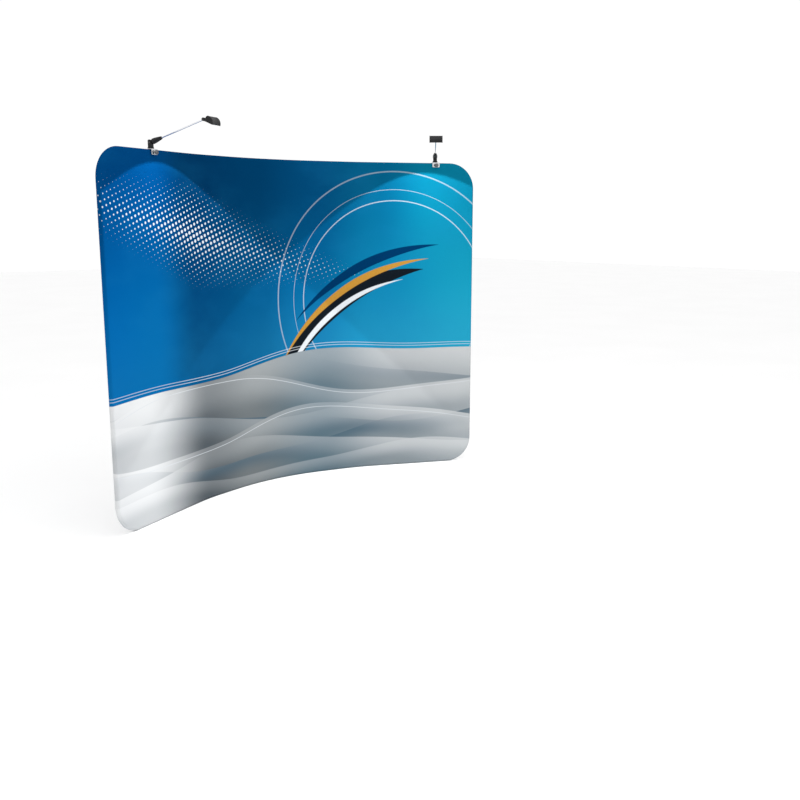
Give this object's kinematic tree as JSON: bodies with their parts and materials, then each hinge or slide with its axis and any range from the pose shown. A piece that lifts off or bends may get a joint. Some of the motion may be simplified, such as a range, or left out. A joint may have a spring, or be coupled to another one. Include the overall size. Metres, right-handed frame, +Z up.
{
  "type": "curved tension fabric display",
  "caption": "Free-standing curved fabric display wall: a stretched printed pillowcase over a push-fit tube frame, with two swivelling clip-on lamps on its top edge.",
  "frame": {"origin": "centre of the bounding box at floor level", "axes": "+X to the viewer's right along the chord of the curve, +Y away from the viewer towards the back, +Z up; the hollow, printed side faces -Y"},
  "size_m": [2.9436, 0.7768, 2.4719],
  "materials": {
    "tube": "satin aluminium tube",
    "saddle": "black moulded plastic",
    "button": "spring steel",
    "print": "printed stretch fabric in blues and white",
    "backing": "plain pale stretch fabric",
    "zip_nylon": "pale nylon coil and tape",
    "zip_metal": "plated metal",
    "bracket": "silver sheet steel",
    "pad": "black rubber",
    "lamp_black": "black plastic",
    "pin": "steel",
    "rod": "bright plated rod",
    "board": "white board with light emitters",
    "lens": "frosted diffuser"
  },
  "bodies": {
    "frame": {"corner_bottom_left": "tube", "corner_bottom_right": "tube", "corner_top_left": "tube", "corner_top_right": "tube", "rail_bottom_left": "tube", "rail_bottom_centre": "tube", "rail_bottom_right": "tube", "rail_top_left": "tube", "rail_top_centre": "tube", "rail_top_right": "tube", "upright_left_lower": "tube", "upright_left_upper": "tube", "upright_right_lower": "tube", "upright_right_upper": "tube", "post_lower": "tube", "post_upper": "tube", "saddle_bottom": "saddle", "saddle_top": "saddle", "fabric_front": "print", "fabric_back": "backing", "fabric_hem": "backing", "zip_chain": "zip_nylon", "left_bracket": "bracket", "right_bracket": "bracket"},
    "button_bottom_left_inner": {"button_bottom_left_inner": "button"},
    "button_bottom_left_outer": {"button_bottom_left_outer": "button"},
    "button_bottom_left_side": {"button_bottom_left_side": "button"},
    "button_bottom_right_inner": {"button_bottom_right_inner": "button"},
    "button_bottom_right_outer": {"button_bottom_right_outer": "button"},
    "button_bottom_right_side": {"button_bottom_right_side": "button"},
    "button_left_middle": {"button_left_middle": "button"},
    "button_right_middle": {"button_right_middle": "button"},
    "button_top_left_inner": {"button_top_left_inner": "button"},
    "button_top_left_outer": {"button_top_left_outer": "button"},
    "button_top_left_side": {"button_top_left_side": "button"},
    "button_top_right_inner": {"button_top_right_inner": "button"},
    "button_top_right_outer": {"button_top_right_outer": "button"},
    "button_top_right_side": {"button_top_right_side": "button"},
    "zip_slider": {"zip_slider": "zip_metal"},
    "zip_puller": {"zip_puller": "zip_metal"},
    "left_clamp_pad": {"left_clamp_pad": "pad"},
    "left_clamp_screw": {"left_clamp_screw": "pin"},
    "left_base": {"left_knuckle": "lamp_black", "left_elbow_pin": "pin"},
    "left_arm": {"left_arm_sleeve": "lamp_black", "left_arm_rod": "rod", "left_head_pin": "pin"},
    "left_head": {"left_head_housing": "lamp_black", "left_led_board": "board", "left_lens": "lens"},
    "right_clamp_pad": {"right_clamp_pad": "pad"},
    "right_clamp_screw": {"right_clamp_screw": "pin"},
    "right_base": {"right_knuckle": "lamp_black", "right_elbow_pin": "pin"},
    "right_arm": {"right_arm_sleeve": "lamp_black", "right_arm_rod": "rod", "right_head_pin": "pin"},
    "right_head": {"right_head_housing": "lamp_black", "right_led_board": "board", "right_lens": "lens"}
  },
  "joints": [
    {"name": "button_bottom_left_inner_press", "type": "slide", "parent": "frame", "child": "button_bottom_left_inner", "axis": [0, 0, -1], "range_m": [0, 0.0045], "stiffness_N_per_m": 2500},
    {"name": "button_bottom_left_outer_press", "type": "slide", "parent": "frame", "child": "button_bottom_left_outer", "axis": [0, 0, -1], "range_m": [0, 0.0045], "stiffness_N_per_m": 2500},
    {"name": "button_bottom_left_side_press", "type": "slide", "parent": "frame", "child": "button_bottom_left_side", "axis": [-0.9028, -0.43, 0], "range_m": [0, 0.0045], "stiffness_N_per_m": 2500},
    {"name": "button_bottom_right_inner_press", "type": "slide", "parent": "frame", "child": "button_bottom_right_inner", "axis": [0, 0, -1], "range_m": [0, 0.0045], "stiffness_N_per_m": 2500},
    {"name": "button_bottom_right_outer_press", "type": "slide", "parent": "frame", "child": "button_bottom_right_outer", "axis": [0, 0, -1], "range_m": [0, 0.0045], "stiffness_N_per_m": 2500},
    {"name": "button_bottom_right_side_press", "type": "slide", "parent": "frame", "child": "button_bottom_right_side", "axis": [0.9028, -0.43, 0], "range_m": [0, 0.0045], "stiffness_N_per_m": 2500},
    {"name": "button_left_middle_press", "type": "slide", "parent": "frame", "child": "button_left_middle", "axis": [-0.9028, -0.43, 0], "range_m": [0, 0.0045], "stiffness_N_per_m": 2500},
    {"name": "button_right_middle_press", "type": "slide", "parent": "frame", "child": "button_right_middle", "axis": [0.9028, -0.43, 0], "range_m": [0, 0.0045], "stiffness_N_per_m": 2500},
    {"name": "button_top_left_inner_press", "type": "slide", "parent": "frame", "child": "button_top_left_inner", "axis": [0, 0, 1], "range_m": [0, 0.0045], "stiffness_N_per_m": 2500},
    {"name": "button_top_left_outer_press", "type": "slide", "parent": "frame", "child": "button_top_left_outer", "axis": [0, 0, 1], "range_m": [0, 0.0045], "stiffness_N_per_m": 2500},
    {"name": "button_top_left_side_press", "type": "slide", "parent": "frame", "child": "button_top_left_side", "axis": [-0.9028, -0.43, 0], "range_m": [0, 0.0045], "stiffness_N_per_m": 2500},
    {"name": "button_top_right_inner_press", "type": "slide", "parent": "frame", "child": "button_top_right_inner", "axis": [0, 0, 1], "range_m": [0, 0.0045], "stiffness_N_per_m": 2500},
    {"name": "button_top_right_outer_press", "type": "slide", "parent": "frame", "child": "button_top_right_outer", "axis": [0, 0, 1], "range_m": [0, 0.0045], "stiffness_N_per_m": 2500},
    {"name": "button_top_right_side_press", "type": "slide", "parent": "frame", "child": "button_top_right_side", "axis": [0.9028, -0.43, 0], "range_m": [0, 0.0045], "stiffness_N_per_m": 2500},
    {"name": "zip_slide", "type": "slide", "parent": "frame", "child": "zip_slider", "axis": [-0.9028, 0.43, 0], "range_m": [0, 0.45]},
    {"name": "zip_puller_swing", "type": "hinge", "parent": "zip_slider", "child": "zip_puller", "pos_m": [1.22127, 0.00028, 0.048], "axis": [0, 0, -1], "range_deg": [0, 170]},
    {"name": "left_clamp_travel", "type": "slide", "parent": "frame", "child": "left_clamp_pad", "axis": [0.43, -0.9028, 0], "range_m": [0, 0.004]},
    {"name": "left_clamp_turn", "type": "hinge", "parent": "left_clamp_pad", "child": "left_clamp_screw", "pos_m": [-1.03571, 0.06416, 2.2786], "axis": [0.43, -0.9028, 0], "range_deg": [0, 1440]},
    {"name": "left_swivel", "type": "hinge", "parent": "frame", "child": "left_base", "pos_m": [-1.03571, 0.06416, 2.2786], "axis": [0, 0, 1], "range_deg": [-60, 60]},
    {"name": "left_elbow", "type": "hinge", "parent": "left_base", "child": "left_arm", "pos_m": [-1.03571, 0.06416, 2.3366], "axis": [-0.8619, -0.507, 0], "range_deg": [-15, 45]},
    {"name": "left_head_tilt", "type": "hinge", "parent": "left_arm", "child": "left_head", "pos_m": [-0.84776, -0.25536, 2.45776], "axis": [-0.8619, -0.507, 0], "range_deg": [-40, 50]},
    {"name": "right_clamp_travel", "type": "slide", "parent": "frame", "child": "right_clamp_pad", "axis": [-0.43, -0.9028, 0], "range_m": [0, 0.004]},
    {"name": "right_clamp_turn", "type": "hinge", "parent": "right_clamp_pad", "child": "right_clamp_screw", "pos_m": [1.19822, -0.01323, 2.2786], "axis": [-0.43, -0.9028, 0], "range_deg": [0, 1440]},
    {"name": "right_swivel", "type": "hinge", "parent": "frame", "child": "right_base", "pos_m": [1.19822, -0.01323, 2.2786], "axis": [0, 0, 1], "range_deg": [-44, 76]},
    {"name": "right_elbow", "type": "hinge", "parent": "right_base", "child": "right_arm", "pos_m": [1.19822, -0.01323, 2.3366], "axis": [-0.7494, 0.6622, 0], "range_deg": [-10, 50]},
    {"name": "right_head_tilt", "type": "hinge", "parent": "right_arm", "child": "right_head", "pos_m": [0.94913, -0.29512, 2.43951], "axis": [-0.7494, 0.6622, 0], "range_deg": [-40, 50]}
  ],
  "couplings": [
    {"joint": "left_clamp_travel", "follows": "left_clamp_turn", "m_per_rad": 0.00015915},
    {"joint": "right_clamp_travel", "follows": "right_clamp_turn", "m_per_rad": 0.00015915}
  ]
}
